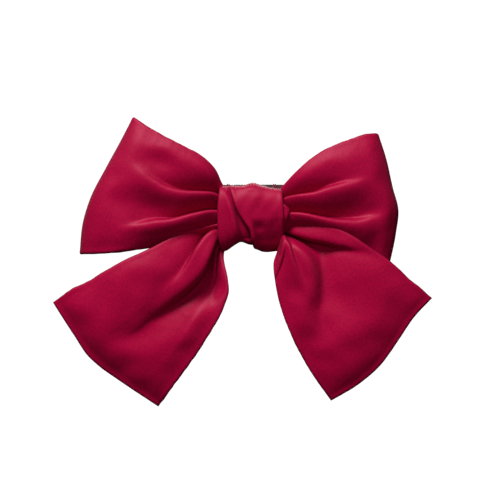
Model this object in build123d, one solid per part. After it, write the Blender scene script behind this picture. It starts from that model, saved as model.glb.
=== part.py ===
"""A large satin hair bow on a sprung steel hair clip.

Frame: +Z up, the bow's face looks along -Y, +X to the right of someone looking at that face.
The origin is the middle of the clip's hair gap. Lengths are millimetres.
The fabric parts are drawn about the centre of the knot and then moved to it.
"""

from build123d import *
from math import asin, cos, degrees, radians, sin, sqrt
import os

# ---- driving dimensions -----------------------------------------------------------------
# Where the centre of the knot lies, in the clip's frame.
KNOT_Y = -16.4
KNOT_Z = -13.4

# Knot: two passes of one flat band round the gathered middle of the bow.
KNOT_HALF_DEPTH = 10.5
KNOT_HALF_HEIGHT = 18.3
KNOT_CORNER = 7.5
BAND_THICK = 1.6
UNDER_WRAP_X = (-18.1, 18.6)
OVER_WRAP_RIGHT = 17.2
OVER_WRAP_TOP_LEFT = (-12.2, 18.4)
OVER_WRAP_BOTTOM_LEFT = (1.4, -18.4)

# Gathered middle of the two fabric strips, with the thread wound round it.
CORE_HALF_LENGTH = 9.2
THREAD_R = 0.35
THREAD_TURNS = 7
LOOSE = 0.05

# Loops and tails, double satin.
CLOTH = 1.2
LOOP_ROOT_X = 20.5
LOOP_PIVOT_X = 13.0
NECK_HALF_DEPTH = 3.6
NECK_MID_Z = 5.4
TAIL_THICK = 1.6
GATHER_R = 1.5
GATHER_Y = 5.5
GATHER_LENGTH = 8.0

# Clip: every long part of it is an arc about an axis parallel to Z.
PLATE_REAR_Y = -4.0
PLATE_THICK = 0.7
PLATE_REAR_R = 124.0
PLATE_LENGTH = 88.0
PLATE_HEIGHT = 9.6
SEW_HOLE_X = 41.5
SEW_HOLE_R = 0.8
ARM_FRONT_Y = 1.8
ARM_FRONT_R = 260.0
ARM_THICK = 0.8
ARM_HEIGHT = 6.4
ARM_END_X = 42.0
SPRING_FRONT_Y = -1.9
SPRING_FRONT_R = 180.0
SPRING_THICK = 0.4
SPRING_HEIGHT = 4.6
SPRING_HALF_LENGTH = 28.0
SPRING_CORNER_R = 0.3
HINGE_X = -38.0
HINGE_Y = 5.6
PIN_R = 0.75
KNUCKLE_R = 1.55
EAR_R = 2.1
EAR_THICK = 0.7
LATCH_X = 35.5
PRONG_THICK = 0.45
PRONG_LENGTH = 5.0
PRONG_MID_Z = 1.95
SADDLE_THICK = 0.4
SADDLE_GAP = 0.22  # the flat foot stands this far off the bent plate at its middle
RIVET_R = 0.8

DEEP = 60.0  # longer than the bow is deep, for cutting through along Y

KNOT = Pos(0, KNOT_Y, KNOT_Z)
FRONT_VIEW = Plane(origin=(0, 0, 0), x_dir=(1, 0, 0), z_dir=(0, -1, 0))
SIDE_VIEW = Plane(origin=(0, 0, 0), x_dir=(0, 1, 0), z_dir=(1, 0, 0))


def save(name, shape):
    """Writes one node's STEP file."""
    export_step(shape, f"parts/{name}.step")


def prism(outline):
    """A closed front-view outline, as a prism that runs right through the bow along Y."""
    return extrude(FRONT_VIEW * make_face(outline), amount=DEEP, both=True)


# ---- knot -------------------------------------------------------------------------------
def racetrack(half_depth, half_height, corner):
    return SIDE_VIEW * RectangleRounded(2 * half_depth, 2 * half_height, corner)


def tube(half_depth, half_height, corner, wall, x_from, x_to):
    """A rounded-rectangle band round the X axis."""
    ring = racetrack(half_depth, half_height, corner)
    ring -= racetrack(half_depth - wall, half_height - wall, corner - wall)
    return Pos(x_from, 0, 0) * extrude(ring, amount=x_to - x_from)


def knot_over_wrap():
    """The outer pass of the band: its left edge crosses the knot on a slant."""
    band = tube(
        KNOT_HALF_DEPTH, KNOT_HALF_HEIGHT, KNOT_CORNER, BAND_THICK, UNDER_WRAP_X[0], OVER_WRAP_RIGHT
    )
    top = (OVER_WRAP_RIGHT, KNOT_HALF_HEIGHT + 1)
    bottom = (OVER_WRAP_RIGHT, -KNOT_HALF_HEIGHT - 1)
    slant = Polyline(OVER_WRAP_TOP_LEFT, top, bottom, OVER_WRAP_BOTTOM_LEFT, close=True)
    return band & prism(slant)


def knot_under_wrap():
    inset = BAND_THICK + LOOSE
    return tube(
        KNOT_HALF_DEPTH - inset,
        KNOT_HALF_HEIGHT - inset,
        KNOT_CORNER - inset,
        BAND_THICK,
        *UNDER_WRAP_X,
    )


CORE_INSET = 2 * (BAND_THICK + LOOSE) + 2 * THREAD_R + 2 * LOOSE
CORE_SIZES = (
    KNOT_HALF_DEPTH - CORE_INSET,
    KNOT_HALF_HEIGHT - CORE_INSET,
    KNOT_CORNER - CORE_INSET,
)


def gathered_core():
    """The cinched middle of the loop strip and the tail strip, packed into one bundle."""
    body = extrude(racetrack(*CORE_SIZES), amount=CORE_HALF_LENGTH, both=True)
    ends = body.faces().filter_by(Axis.X).edges()
    return fillet(ends, 1.5)


def gather_thread():
    """Closed turns of strong thread round the middle of the core."""
    reach = THREAD_R + LOOSE
    path = SIDE_VIEW * RectangleRounded(
        2 * (CORE_SIZES[0] + reach), 2 * (CORE_SIZES[1] + reach), CORE_SIZES[2] + reach
    )
    wire = path.wire()
    start = wire @ 0
    section = Plane(origin=start, z_dir=wire % 0) * Circle(THREAD_R)
    turn = sweep(section, path=wire)
    pitch = 2 * (THREAD_R + LOOSE)
    middle = (THREAD_TURNS - 1) / 2
    return Compound([Pos((i - middle) * pitch, 0, 0) * turn for i in range(THREAD_TURNS)])


def closing_stitches():
    """Slanted hand stitches that close the band on the back of the knot."""
    count, pitch, length, radius = 6, 2.4, 2.6, 0.22
    back = KNOT_HALF_DEPTH + radius + LOOSE
    lean = 35
    stitch = Rot(0, lean, 0) * capsule(radius, length)
    return Compound([Pos(4.0, back, -9.0 + i * pitch) * stitch for i in range(count)])


def capsule(radius, length):
    """A round-ended rod along Z, centred."""
    rod = Cylinder(radius, length)
    return rod + [Pos(0, 0, end * length / 2) * Sphere(radius) for end in (-1, 1)]


# ---- loops ------------------------------------------------------------------------------
def folded_loop(side, tip, corner, fold_x, bulge, rear, outline):
    """One loop: a strip folded over at its outer edge, hollow and open above and below.

    side is -1 for the left loop and 1 for the right one. The ring is the loop seen from above,
    and it is drawn out along the line from the outer edge's lower corner to its upper tip.
    """
    outer = loop_ring(side, fold_x, bulge, rear, 0)
    inner = loop_ring(side, fold_x, bulge, rear, CLOTH)
    along = Vector(tip[0] - corner[0], 0, tip[1] - corner[1]).normalized()
    reach = 90
    ring = extrude(outer - inner, amount=reach, dir=along, both=True)
    neck_height = 17.2
    neck = Pos(side * (LOOP_PIVOT_X + 4.5), 0, NECK_MID_Z) * Box(9, 2 * NECK_HALF_DEPTH, neck_height)
    neck += Pos(side * LOOP_PIVOT_X, 0, NECK_MID_Z) * Cylinder(NECK_HALF_DEPTH, neck_height)
    return (ring & prism(outline)) + neck


def loop_ring(side, fold_x, bulge, rear, inset):
    """The closed shape of a loop seen from above, pulled in by inset."""
    root_x = LOOP_ROOT_X + inset * 2.5
    neck = NECK_HALF_DEPTH - inset
    tip_x = fold_x - inset
    front = Spline(
        (side * root_x, -neck),
        (side * (root_x + 9), -4.6 + inset),
        (side * (root_x + 19), -bulge * 0.72 + inset),
        (side * (fold_x * 0.64), -bulge + inset),
        (side * (fold_x - 5), -bulge * 0.45 + inset),
        (side * tip_x, 0.5),
    )
    back = Spline(
        (side * tip_x, 0.5),
        (side * (fold_x - 6), rear * 0.7 - inset),
        (side * (fold_x * 0.6), rear - inset),
        (side * (root_x + 14), rear * 0.8 - inset),
        (side * root_x, neck),
    )
    root = Line((side * root_x, neck), (side * root_x, -neck))
    return make_face([front, back, root])


def left_loop():
    tip, corner = (-63.4, 54.0), (-92.2, -19.9)
    outline = [
        Spline((-20.5, 17.0), (-25.3, 31.3), (-38.3, 38.6), (-54.2, 47.3), tip),
        Spline(tip, (-70.5, 40.3), (-86.7, 9.6), (-90.3, -3.4), corner),
        Spline(corner, (-63.6, -17.7), (-40.0, -15.5), (-20.5, -6.5)),
        Line((-20.5, -6.5), (-20.5, 17.0)),
    ]
    return folded_loop(-1, tip, corner, 91.0, 10.5, 9.5, outline)


def right_loop():
    tip, corner = (67.6, 45.2), (73.4, -28.4)
    outline = [
        Spline((20.5, 19.5), (24.8, 25.1), (48.9, 40.5), (62.7, 44.9), tip),
        Spline(tip, (75.8, 15.8), (78.8, 3.8), (77.5, -8.6), corner),
        Spline(corner, (60.0, -20.5), (40.0, -12.5), (20.5, -6.5)),
        Line((20.5, -6.5), (20.5, 19.5)),
    ]
    return folded_loop(1, tip, corner, 78.8, 10.5, 9.5, outline)


# ---- tails ------------------------------------------------------------------------------
def tail(side, pivot, towards, outline):
    """One tail: a double sheet that leaves the knot, rides up over its loop and falls back.

    pivot is where the tail's fold line leaves the knot, and towards is the tail's direction,
    both in the front view. The sheet is bent along its own length only, and a round gather
    lies along the fold line, half inside the mouth of the knot.
    """
    across = (-towards[1], towards[0])
    along = Plane(
        origin=(pivot[0], 0, pivot[1]),
        x_dir=(towards[0], 0, towards[1]),
        z_dir=(across[0], 0, across[1]),
    )
    forward = -along.y_dir.Y
    path = [(-2.4, 7.2), (0.5, 7.5), (4, 9.0), (13, 11.6), (30, 14.0), (60, 12.4), (105, 3.0)]
    front = [(u, forward * y) for u, y in path]
    back = [(u, forward * (y - TAIL_THICK)) for u, y in reversed(path)]
    profile = [
        Spline(*front),
        Line(front[-1], back[0]),
        Spline(*back),
        Line(back[-1], front[0]),
    ]
    sheet = extrude(along * make_face(profile), amount=90, both=True) & prism(outline)
    inward = -side * (1 if across[0] > 0 else -1)
    roll = Cylinder(GATHER_R, GATHER_LENGTH, align=(Align.CENTER, Align.CENTER, Align.CENTER))
    lean = Plane(
        origin=(
            pivot[0] + inward * across[0] * GATHER_LENGTH * 0.3,
            -GATHER_Y,
            pivot[1] + inward * across[1] * GATHER_LENGTH * 0.3,
        ),
        x_dir=(0, 1, 0),
        z_dir=(across[0], 0, across[1]),
    )
    return sheet + lean * roll


def left_tail():
    pivot, towards = (-20.8, -6.0), (-0.714, -0.700)
    corner, point = (-106.9, -46.4), (-50.2, -101.9)
    outline = [
        Spline((-20.2, -4.2), (-42.4, -11.0), (-71.8, -25.6), (-99.1, -40.7), corner),
        Spline(corner, (-88.5, -74.5), (-71.8, -87.7), point),
        Spline(point, (-25.5, -66.1), (-13.4, -43.0), (-15.4, -23.5)),
        Polyline((-15.4, -23.5), (-20.2, -20.0), (-20.2, -4.2)),
    ]
    return tail(-1, pivot, towards, outline)


def right_tail():
    pivot, towards = (21.2, -3.8), (0.658, -0.753)
    corner, point = (96.9, -43.3), (42.8, -98.5)
    outline = [
        Spline((20.6, -1.7), (35.1, -3.2), (62.7, -15.6), (85.6, -33.4), corner),
        Spline(corner, (79.9, -64.8), (68.3, -80.8), (57.5, -89.8), point),
        Spline(point, (21.7, -63.5), (13.6, -40.0), (14.6, -24.0)),
        Polyline((14.6, -24.0), (20.6, -20.5), (20.6, -1.7)),
    ]
    return tail(1, pivot, towards, outline)


# ---- clip -------------------------------------------------------------------------------
def bent_strip(front_y, radius, thick, outline):
    """A strip bent to an arc about Z. radius is that of its hollow side, which faces the head.

    front_y is where the strip's hollow side crosses X = 0, and outline is its front view.
    """
    centre = front_y + radius
    ring = Cylinder(radius + thick, 40) - Cylinder(radius, 40)
    return (Pos(0, centre, 0) * ring) & extrude(FRONT_VIEW * outline, amount=30, both=True)


def arc_y(x, y_at_middle, radius):
    """Y of an arc that bends towards the head, at a given X."""
    return y_at_middle + radius - sqrt(radius**2 - x**2)


def hole_through(x, radius):
    return Pos(x, 0, 0) * Rot(90, 0, 0) * Cylinder(radius, DEEP)


SPRING_HOOK_X = -SPRING_HALF_LENGTH - 0.8
LATCH_ANGLE = degrees(asin(LATCH_X / PLATE_REAR_R))
LATCH_Y = arc_y(LATCH_X, PLATE_REAR_Y, PLATE_REAR_R)
# The latch stands square to the plate: X' runs along the plate and Z' towards the head.
LATCH = Plane(
    origin=(LATCH_X, LATCH_Y, 0),
    x_dir=(cos(radians(LATCH_ANGLE)), sin(radians(LATCH_ANGLE)), 0),
    z_dir=(-sin(radians(LATCH_ANGLE)), cos(radians(LATCH_ANGLE)), 0),
)
RIVET_X = 4.4  # along the plate from the middle of the latch, towards the middle of the clip


def base_plate():
    """The bent top plate, with the sewing holes, the spring's slot, the rivet hole and two ears."""
    outline = SlotOverall(PLATE_LENGTH, PLATE_HEIGHT)
    plate = bent_strip(PLATE_REAR_Y, PLATE_REAR_R, PLATE_THICK, outline)
    for x in (-SEW_HOLE_X, SEW_HOLE_X):
        plate -= hole_through(x, SEW_HOLE_R)
    plate -= Pos(SPRING_HOOK_X, 0, 0) * Box(2.0, DEEP, SPRING_HEIGHT + 0.8)
    for i in range(3):
        slot = extrude(FRONT_VIEW * SlotOverall(9, 2.2), amount=DEEP, both=True)
        plate -= Pos(-17 + 17 * i, 0, 0) * slot
    plate -= LATCH * (Pos(-RIVET_X, 0, 0) * Cylinder(RIVET_R + 0.02, 4))
    for end in (-1, 1):
        plate += ear(end)
    return plate


def ear(end):
    """One hinge ear: the plate's long edge turned towards the head, with the pin's hole."""
    root_y = arc_y(HINGE_X, PLATE_REAR_Y, PLATE_REAR_R) - 0.3
    web = Pos(HINGE_X, (root_y + HINGE_Y) / 2, 0) * Box(2 * EAR_R, HINGE_Y - root_y, EAR_THICK)
    tab = web + Pos(HINGE_X, HINGE_Y, 0) * Cylinder(EAR_R, EAR_THICK)
    tab -= Pos(HINGE_X, HINGE_Y, 0) * Cylinder(PIN_R + 0.03, 4)
    return Pos(0, 0, end * (PLATE_HEIGHT / 2 - EAR_THICK / 2 - 0.5)) * tab


def hinge_pin():
    """A headed pin through both ears."""
    half = PLATE_HEIGHT / 2 - 0.5 + LOOSE
    head_r, head_thick = 1.25, 0.4
    pin = Cylinder(PIN_R, 2 * half)
    for end in (-1, 1):
        pin += Pos(0, 0, end * (half + head_thick / 2)) * Cylinder(head_r, head_thick)
    return Pos(HINGE_X, HINGE_Y, 0) * pin


def clasp_arm():
    """The long arm that closes on the hair: a ribbed bent strip with a rolled knuckle at the
    hinge, a window for the latch and a finger lip at its free end."""
    start = HINGE_X + KNUCKLE_R * 0.6
    outline = Pos((start + ARM_END_X) / 2, 0) * RectangleRounded(
        ARM_END_X - start, ARM_HEIGHT, ARM_HEIGHT / 2 - 0.7
    )
    arm = bent_strip(ARM_FRONT_Y + ARM_THICK, ARM_FRONT_R - ARM_THICK, ARM_THICK, outline)
    rib = bent_strip(
        ARM_FRONT_Y + ARM_THICK + 0.45, ARM_FRONT_R - ARM_THICK - 0.45, 0.5, SlotOverall(54, 2.2)
    )
    arm += rib
    window_x = LATCH_X - 1.3
    arm -= Pos(window_x, 0, 0) * Box(PRONG_LENGTH + 3.4, DEEP, 2 * (PRONG_MID_Z + 0.5))
    lip_y = arc_y(ARM_END_X, ARM_FRONT_Y, ARM_FRONT_R)
    arm += Pos(ARM_END_X - 0.6, lip_y + 0.8, 0) * Rot(0, 0, 40) * Box(2.6, 0.8, ARM_HEIGHT - 2)
    knuckle = Pos(HINGE_X, HINGE_Y, 0) * Cylinder(KNUCKLE_R, ARM_HEIGHT)
    arm += knuckle
    return arm - Pos(HINGE_X, HINGE_Y, 0) * Cylinder(PIN_R + 0.05, DEEP)


def tension_bar():
    """The flat spring between plate and arm. Its hooked end sits in the plate's slot."""
    outline = RectangleRounded(2 * SPRING_HALF_LENGTH, SPRING_HEIGHT, 1.2)
    bar = bent_strip(
        SPRING_FRONT_Y + SPRING_THICK, SPRING_FRONT_R - SPRING_THICK, SPRING_THICK, outline
    )
    hook_y = arc_y(SPRING_HOOK_X, SPRING_FRONT_Y, SPRING_FRONT_R)
    shank = Pos(-SPRING_HALF_LENGTH + 0.1, hook_y + SPRING_THICK / 2, 0)
    bar += shank * Box(2.2, SPRING_THICK, SPRING_HEIGHT - 1)
    corner = Pos(SPRING_HOOK_X, hook_y + SPRING_THICK / 2, 0)
    bar += corner * Cylinder(SPRING_CORNER_R, SPRING_HEIGHT - 1)
    hook_length = 2.3
    hook_middle = hook_y + SPRING_THICK - hook_length / 2
    bar += Pos(SPRING_HOOK_X, hook_middle, 0) * Box(SPRING_THICK, hook_length, SPRING_HEIGHT - 1)
    return bar


def latch_saddle():
    """The flat foot of the latch, riveted to the plate."""
    foot = Pos(-1.6, 0, SADDLE_THICK / 2 + SADDLE_GAP) * Box(PRONG_LENGTH + 4.8, 5.6, SADDLE_THICK)
    foot -= Pos(-RIVET_X, 0, 0) * Cylinder(RIVET_R + 0.02, 4)
    return LATCH * foot


def latch_prong(end):
    """One squeezable prong, with a barb that holds the arm and a curved finger tip.

    end is 1 for the upper prong and -1 for the lower one. The prong's profile is drawn across
    the plate, with height measured from the plate towards the head.
    """
    foot, barb, top = 0.85, 4.4, 7.0
    half = PRONG_THICK / 2
    outer = PRONG_MID_Z + half
    inner = PRONG_MID_Z - half
    catch = outer + 0.75
    profile = Polyline(
        (inner, foot),
        (outer, foot),
        (outer, barb),
        (catch, barb + 0.05),
        (outer + 0.1, barb + 1.1),
        (outer + 0.5, top),
        (inner + 0.5, top),
        (inner, barb + 1.1),
        close=True,
    )
    across = Plane(origin=(-PRONG_LENGTH / 2, 0, 0), x_dir=(0, 1, 0), z_dir=(1, 0, 0))
    prong = extrude(across * make_face(profile), amount=PRONG_LENGTH)
    prong += Pos(0, PRONG_MID_Z, foot) * Rot(0, 90, 0) * Cylinder(half, PRONG_LENGTH)
    # LATCH's Y' axis points down the row frame's Z, so the upper prong is the mirrored one.
    if end > 0:
        prong = mirror(prong, about=Plane.XZ)
    return LATCH * prong


def latch_rivet():
    plate_and_foot = PLATE_THICK + SADDLE_GAP + SADDLE_THICK + 0.1
    head_r, head_thick = 1.5, 0.35
    front = -PLATE_THICK - LOOSE
    shank = Pos(0, 0, front + plate_and_foot / 2) * Cylinder(RIVET_R, plate_and_foot)
    shank += Pos(0, 0, front - head_thick / 2) * Cylinder(head_r, head_thick)
    shank += Pos(0, 0, front + plate_and_foot + head_thick / 2) * Cylinder(head_r, head_thick)
    return LATCH * (Pos(-RIVET_X, 0, 0) * shank)


def clip_pad():
    """The felt pad between knot and plate, pressed to the shape of both."""
    front = KNOT_Y + KNOT_HALF_DEPTH - 4.4
    block = extrude(
        Plane(origin=(0, front, 0), x_dir=(1, 0, 0), z_dir=(0, 1, 0)) * RectangleRounded(19, 8.6, 1.5),
        amount=12,
    )
    centre = PLATE_REAR_Y + PLATE_REAR_R
    block -= Pos(0, centre, 0) * Cylinder(PLATE_REAR_R + PLATE_THICK + LOOSE, 40)
    knot = racetrack(KNOT_HALF_DEPTH + LOOSE, KNOT_HALF_HEIGHT + LOOSE, KNOT_CORNER + LOOSE)
    return block - KNOT * extrude(knot, amount=20, both=True)


def binding_stitches():
    """Turns of thread that bind the plate to the back of the knot, two each side of the pad."""
    radius = 0.28
    turns = []
    for x in (-13.2, -12.2, 12.2, 13.2):
        middle = arc_y(x, PLATE_REAR_Y, PLATE_REAR_R) - PLATE_THICK / 2
        half_depth = PLATE_THICK / 2 + radius + 0.14
        half_height = PLATE_HEIGHT / 2 + radius + 0.05
        path = SIDE_VIEW * RectangleRounded(2 * half_depth, 2 * half_height, half_depth - 0.05)
        wire = path.wire()
        turn = sweep(Plane(origin=wire @ 0, z_dir=wire % 0) * Circle(radius), path=wire)
        turns.append(Pos(x, middle, 0) * turn)
    return Compound(turns)


# ---- write ------------------------------------------------------------------------------
os.makedirs("parts", exist_ok=True)

save("knot_over_wrap", KNOT * knot_over_wrap())
save("knot_under_wrap", KNOT * knot_under_wrap())
save("gathered_core", KNOT * gathered_core())
save("gather_thread", KNOT * gather_thread())
save("knot_closing_stitches", KNOT * closing_stitches())
save("left_loop", KNOT * left_loop())
save("right_loop", KNOT * right_loop())
save("left_tail", KNOT * left_tail())
save("right_tail", KNOT * right_tail())

save("clip_pad", clip_pad())
save("clip_binding_stitches", binding_stitches())
save("clip_base_plate", base_plate())
save("clip_hinge_pin", hinge_pin())
save("clip_clasp_arm", clasp_arm())
save("clip_tension_bar", tension_bar())
save("clip_latch_saddle", latch_saddle())
save("clip_latch_prong_upper", latch_prong(1))
save("clip_latch_prong_lower", latch_prong(-1))
save("clip_latch_rivet", latch_rivet())
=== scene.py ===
import math

import bpy
import numpy as np
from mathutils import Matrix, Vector


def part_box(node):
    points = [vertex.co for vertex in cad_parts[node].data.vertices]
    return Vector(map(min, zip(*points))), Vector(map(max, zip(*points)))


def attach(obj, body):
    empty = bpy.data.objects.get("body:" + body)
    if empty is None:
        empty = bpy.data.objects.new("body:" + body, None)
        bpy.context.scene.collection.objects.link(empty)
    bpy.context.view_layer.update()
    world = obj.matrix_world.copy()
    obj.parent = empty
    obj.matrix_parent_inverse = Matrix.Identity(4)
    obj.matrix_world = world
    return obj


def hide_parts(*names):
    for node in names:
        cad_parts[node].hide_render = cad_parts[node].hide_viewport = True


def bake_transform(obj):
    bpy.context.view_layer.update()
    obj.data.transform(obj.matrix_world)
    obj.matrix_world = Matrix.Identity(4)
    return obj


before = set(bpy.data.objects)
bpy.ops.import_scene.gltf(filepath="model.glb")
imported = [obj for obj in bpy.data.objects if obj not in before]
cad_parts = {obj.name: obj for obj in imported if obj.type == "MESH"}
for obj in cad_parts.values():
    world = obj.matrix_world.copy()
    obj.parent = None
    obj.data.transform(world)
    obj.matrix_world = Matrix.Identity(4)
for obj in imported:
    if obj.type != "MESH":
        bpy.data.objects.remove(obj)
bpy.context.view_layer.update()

# ---- frame and helpers --------------------------------------------------------------------
# Cloth is drawn in millimetres about the centre of the knot: x right, f forward, z up.
# On a loop or a tail, u runs along the cloth from the knot and v across it, both from 0 to 1.
MM = 0.001
wrap_low, wrap_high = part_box("knot_over_wrap")
KNOT = np.array([0.0, (wrap_low.y + wrap_high.y) / 2, (wrap_low.z + wrap_high.z) / 2])


def to_row(points):
    """(x, f, z) in millimetres about the knot to the row frame in metres."""
    p = np.asarray(points, float)
    return KNOT + MM * np.stack([p[..., 0], -p[..., 1], p[..., 2]], -1)


def hermite(keys, values, t):
    """A smooth curve through values at keys, read at t. Values may be numbers or points."""
    k = np.asarray(keys, float)
    y = np.asarray(values, float)
    slope = np.gradient(y, k, axis=0)
    t = np.clip(np.asarray(t, float), k[0], k[-1])
    i = np.clip(np.searchsorted(k, t, side="right") - 1, 0, len(k) - 2)
    gap = k[i + 1] - k[i]
    r = (t - k[i]) / gap
    if y.ndim > 1:
        r, gap = r[..., None], gap[..., None]
    r2, r3 = r * r, r * r * r
    return (
        (2 * r3 - 3 * r2 + 1) * y[i]
        + (r3 - 2 * r2 + r) * gap * slope[i]
        + (3 * r2 - 2 * r3) * y[i + 1]
        + (r3 - r2) * gap * slope[i + 1]
    )


def curve(points, t):
    """A smooth line through points, spaced by length."""
    p = np.asarray(points, float)
    steps = np.linalg.norm(np.diff(p, axis=0), axis=1)
    keys = np.concatenate([[0], np.cumsum(steps)]) / steps.sum()
    return hermite(keys, p, t)


def ramp(t, *pairs):
    """A smooth number that passes through the (t, value) pairs."""
    return hermite([key for key, _ in pairs], [value for _, value in pairs], t)


def smooth(start, end, t):
    """0 before start, 1 after end, and an even S between them."""
    r = np.clip((t - start) / (end - start), 0, 1)
    return r * r * (3 - 2 * r)


def bell(distance, width):
    return np.exp(-((distance / width) ** 2))


def squared(wave, power):
    """A sine or cosine pushed towards -1 and 1, which squares off the circle that it draws."""
    return np.sign(wave) * np.abs(wave) ** power


def patch(neck, outer, low, high, U, V):
    """A sheet's front view, filled in between its four edges.

    neck and outer run across the cloth at u = 0 and 1, low and high along it at v = 0 and 1.
    """
    neck_low, outer_low = np.array(low[0]), np.array(low[-1])
    neck_high, outer_high = np.array(high[0]), np.array(high[-1])
    u, v = U[..., None], V[..., None]
    between_sides = (1 - v) * curve(low, U) + v * curve(high, U)
    between_ends = (1 - u) * curve(neck, V) + u * curve(outer, V)
    low_corners = (1 - u) * neck_low + u * outer_low
    high_corners = (1 - u) * neck_high + u * outer_high
    return between_sides + between_ends - (1 - v) * low_corners - v * high_corners


def ripples(x, z, seed, size):
    """Soft unevenness of hand-set cloth, as a sum of a few waves. size: the longest, in mm."""
    rng = np.random.default_rng(seed)
    total = 0
    for scale in (1.0, 0.62, 0.37):
        for _ in range(3):
            angle, phase = rng.uniform(0, math.tau, 2)
            k = math.tau / (size * scale)
            total = total + scale * np.sin(k * (x * math.cos(angle) + z * math.sin(angle)) + phase)
    return total / 4


# ---- folds --------------------------------------------------------------------------------
def lip(at, rise, dip, proud, groove, edge, life, over=0.6, way=1):
    """A pleat's lip: cloth that stands proud on one side of a line and laps over a groove.

    at: (u, v) points the lip passes through. rise and dip: heights in mm of the proud side and
    depth of the groove. proud and groove: how far each reaches. edge: width of the step at the
    knot and at the far end. life: (u, strength) pairs. over: how far the lip overhangs the
    groove, as a share of rise. way: 1 where the groove is on the side of larger v, else -1.
    """
    return dict(
        kind="lip", at=at, rise=rise, dip=dip, proud=proud, groove=groove, edge=edge, life=life,
        over=over, way=way,
    )


def swell(at, height, width, life):
    """A soft ridge, or a valley where height is negative. width: mm at the knot and at the end."""
    return dict(kind="swell", at=at, height=height, width=width, life=life)


def fold_heights(folds, U, V, width_across):
    """Forward height of all folds, and how far the cloth slides across towards v = 1."""
    height = np.zeros_like(U)
    slide = np.zeros_like(U)
    grow = 0.55 + 0.9 * U  # folds spread out away from the knot
    for fold in folds:
        centre = ramp(U, *fold["at"])
        strength = ramp(U, *fold["life"])
        d = (V - centre) * width_across
        if fold["kind"] == "swell":
            width = fold["width"][0] + (fold["width"][1] - fold["width"][0]) * U
            height += strength * fold["height"] * bell(d, width)
            continue
        d = d * fold["way"]
        step = fold["edge"][0] + (fold["edge"][1] - fold["edge"][0]) * U**2
        side = 1 / (1 + np.exp(np.clip(d / step * 2, -40, 40)))
        crest = side * np.exp(-np.abs(d) / (fold["proud"] * grow))
        groove = (1 - side) * np.exp(-np.abs(d) / (fold["groove"] * grow))
        height += strength * (fold["rise"] * crest - fold["dip"] * groove)
        lap = strength * fold["over"] * fold["rise"] * side * bell(d, 1.2 + step)
        slide += lap * fold["way"]
    return height, slide


# ---- cloth simulation ---------------------------------------------------------------------
SETTLE_FRAMES = 14
SETTLE_EVERY = 3  # the simulated cloth has every third point of the grid, each way
SLACK = 0.006  # how much longer the cloth is than the shape it is laid on, so that it buckles
SOFTENING = 4


def soften(grid, axis):
    """Each point averaged with its two neighbours along one direction."""
    last = grid.shape[axis] - 1
    i = np.arange(last + 1)
    before = np.take(grid, np.maximum(i - 1, 0), axis)
    after = np.take(grid, np.minimum(i + 1, last), axis)
    return 0.25 * before + 0.5 * grid + 0.25 * after


def spread(values, places, count, axis):
    """Values known at some places along one direction, filled in for all count places."""
    values = np.moveaxis(values, axis, 0)
    here = np.arange(count)
    i = np.clip(np.searchsorted(places, here, side="right") - 1, 0, len(places) - 2)
    share = ((here - places[i]) / (places[i + 1] - places[i]))[:, None, None]
    filled = values[i] + share * (values[i + 1] - values[i])
    return np.moveaxis(filled, 0, axis)


def add_cloth(obj):
    """Stiff light satin, held by the object's vertex group."""
    cloth = obj.modifiers.new("cloth", "CLOTH")
    settings = cloth.settings
    settings.quality = 6
    settings.mass = 0.02
    settings.tension_stiffness = settings.compression_stiffness = 12.0
    settings.shear_stiffness = 4.0
    settings.bending_stiffness = 25.0
    settings.tension_damping = settings.compression_damping = settings.shear_damping = 8.0
    settings.bending_damping = 0.8
    settings.air_damping = 4.0
    settings.vertex_group_mass = "hold"
    settings.pin_stiffness = 1.0
    settings.shrink_min = -SLACK
    settings.effector_weights.gravity = 0.25
    cloth.collision_settings.use_collision = False
    cloth.point_cache.frame_start = 1
    cloth.point_cache.frame_end = SETTLE_FRAMES


def settle(P, hold):
    """Lets a modelled sheet relax as real cloth, and returns the sheet it settles into.

    hold: 0..1 for each grid point, 1 where the knot or a stiff turned edge keeps the cloth in
    place. The movement of the coarser simulated cloth is smoothed and spread over the sheet.
    """
    nu, nv = P.shape[:2]
    rows = np.unique(np.append(np.arange(0, nu, SETTLE_EVERY), nu - 1))
    cols = np.unique(np.append(np.arange(0, nv, SETTLE_EVERY), nv - 1))
    start = to_row(P[np.ix_(rows, cols)])
    weight = hold[np.ix_(rows, cols)]
    ids = np.arange(weight.size).reshape(weight.shape)
    quads = np.stack([ids[:-1, :-1], ids[1:, :-1], ids[1:, 1:], ids[:-1, 1:]], -1).reshape(-1, 4)
    mesh = bpy.data.meshes.new("settling")
    mesh.from_pydata(start.reshape(-1, 3).tolist(), [], quads.tolist())
    obj = bpy.data.objects.new("settling", mesh)
    scene = bpy.context.scene
    scene.collection.objects.link(obj)
    group = obj.vertex_groups.new(name="hold")
    for i, w in enumerate(weight.ravel()):
        group.add([i], float(w), "REPLACE")
    add_cloth(obj)
    for frame_number in range(1, SETTLE_FRAMES + 1):
        scene.frame_set(frame_number)
    settled = obj.evaluated_get(bpy.context.evaluated_depsgraph_get())
    places = np.zeros(start.size, np.float32)
    settled.data.vertices.foreach_get("co", places)
    move = (places.reshape(start.shape) - start) / MM
    scene.frame_set(1)
    bpy.data.objects.remove(obj)
    bpy.data.meshes.remove(mesh)
    move = np.stack([move[..., 0], -move[..., 1], move[..., 2]], -1)
    for _ in range(SOFTENING):
        move = soften(soften(move, 0), 1)
    move = move * (1 - weight[..., None])
    return P + spread(spread(move, cols, nv, 1), rows, nu, 0)


def held(U, V, width, length):
    """How firmly each point of a sheet is held: fully at the knot, less along its turned edges."""
    knot = 1 - smooth(0.15, 0.35, U)
    to_edge = np.minimum(np.minimum(V, 1 - V) * width, (1 - U) * length)
    border = 1 - smooth(0.4, 7.0, to_edge)
    return np.clip(np.maximum(knot, border), 0.03, 1)


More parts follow.
